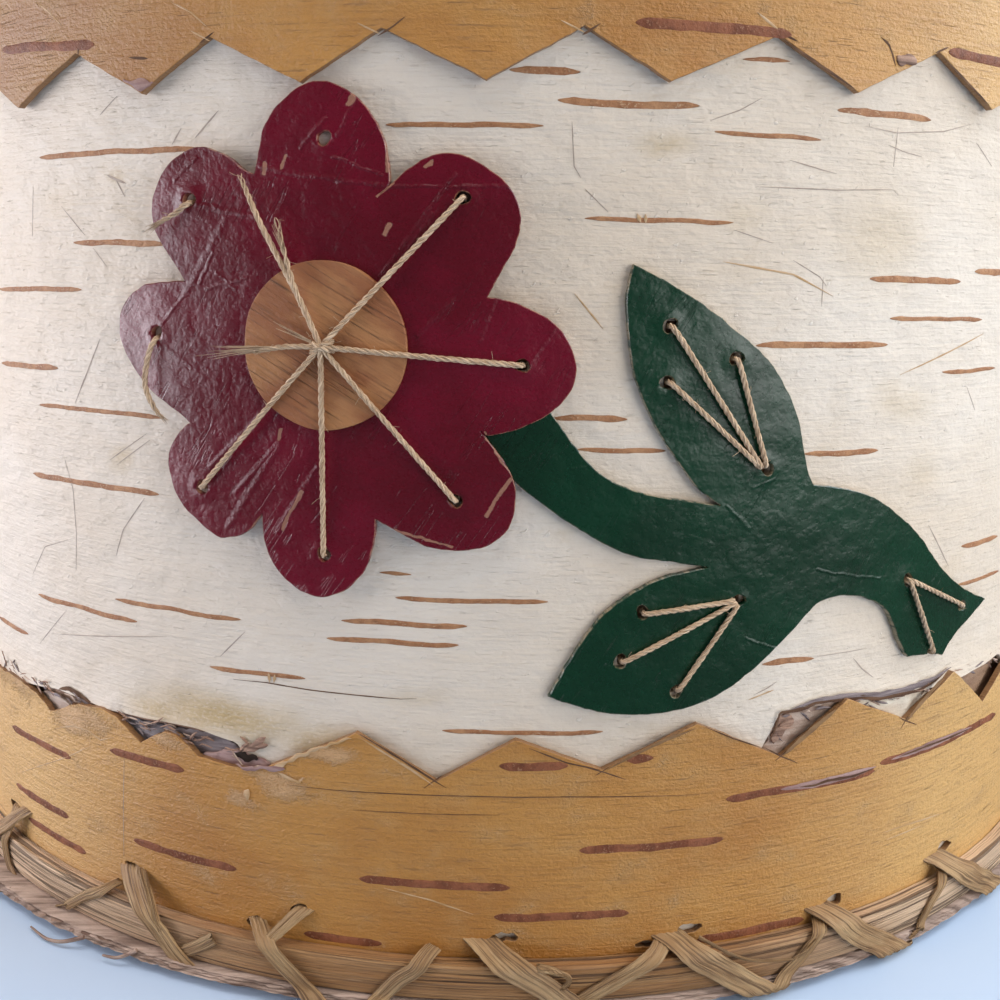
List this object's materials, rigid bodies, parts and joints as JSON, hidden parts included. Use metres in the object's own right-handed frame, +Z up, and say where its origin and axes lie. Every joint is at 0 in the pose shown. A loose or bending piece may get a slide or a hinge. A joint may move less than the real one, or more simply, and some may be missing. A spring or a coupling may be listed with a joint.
{
  "type": "birch bark box",
  "caption": "Round birch-bark box with a lift-off lid, toothed golden bands, hoops lashed on with split strips, and a painted flower sewn to its front.",
  "frame": {"origin": "on the box's axis, on the surface that it stands on", "axes": "+Z up the axis, the sewn flower faces -Y"},
  "size_m": [0.231, 0.2302, 0.1771],
  "materials": {
    "white_bark": "smooth birch bark, satin",
    "inner_bark": "brown inner side of birch bark, matt",
    "golden_bark": "honey-coloured birch bark, satin",
    "base_bark": "thick bark, matt",
    "split_wood": "split wood with long grain, satin",
    "lashing_strip": "split root strip, satin",
    "maroon_paint": "painted bark, gloss",
    "green_paint": "painted bark, gloss",
    "brown_bark": "bark, satin",
    "twine": "twisted natural fibre"
  },
  "bodies": {
    "box": {"outer_wall": "white_bark", "inner_wall": "inner_bark", "lower_band": "golden_bark", "upper_band": "golden_bark", "base_disc": "base_bark", "base_floor": "inner_bark", "base_hoop": "split_wood", "rim_outer_hoop": "split_wood", "rim_inner_hoop": "split_wood", "base_over_turns": "lashing_strip", "base_under_turns": "lashing_strip", "rim_turns": "lashing_strip", "flower_petals": "maroon_paint", "flower_centre": "brown_bark", "stem_and_leaves": "green_paint", "petal_stitches": "twine", "upper_leaf_stitches": "twine", "lower_leaf_stitches": "twine", "stem_end_stitches": "twine", "wall_seam_lacing": "lashing_strip"},
    "lid": {"lid_top_disc": "golden_bark", "lid_under_disc": "inner_bark", "lid_hoop": "split_wood", "lid_edge_turns": "lashing_strip", "lid_flange": "inner_bark", "lid_flange_stitches": "lashing_strip", "lid_handle": "golden_bark"}
  },
  "joints": [
    {"name": "lid_lift", "type": "slide", "parent": "box", "child": "lid", "axis": [0, 0, 1], "range_m": [0, 0.06]}
  ]
}
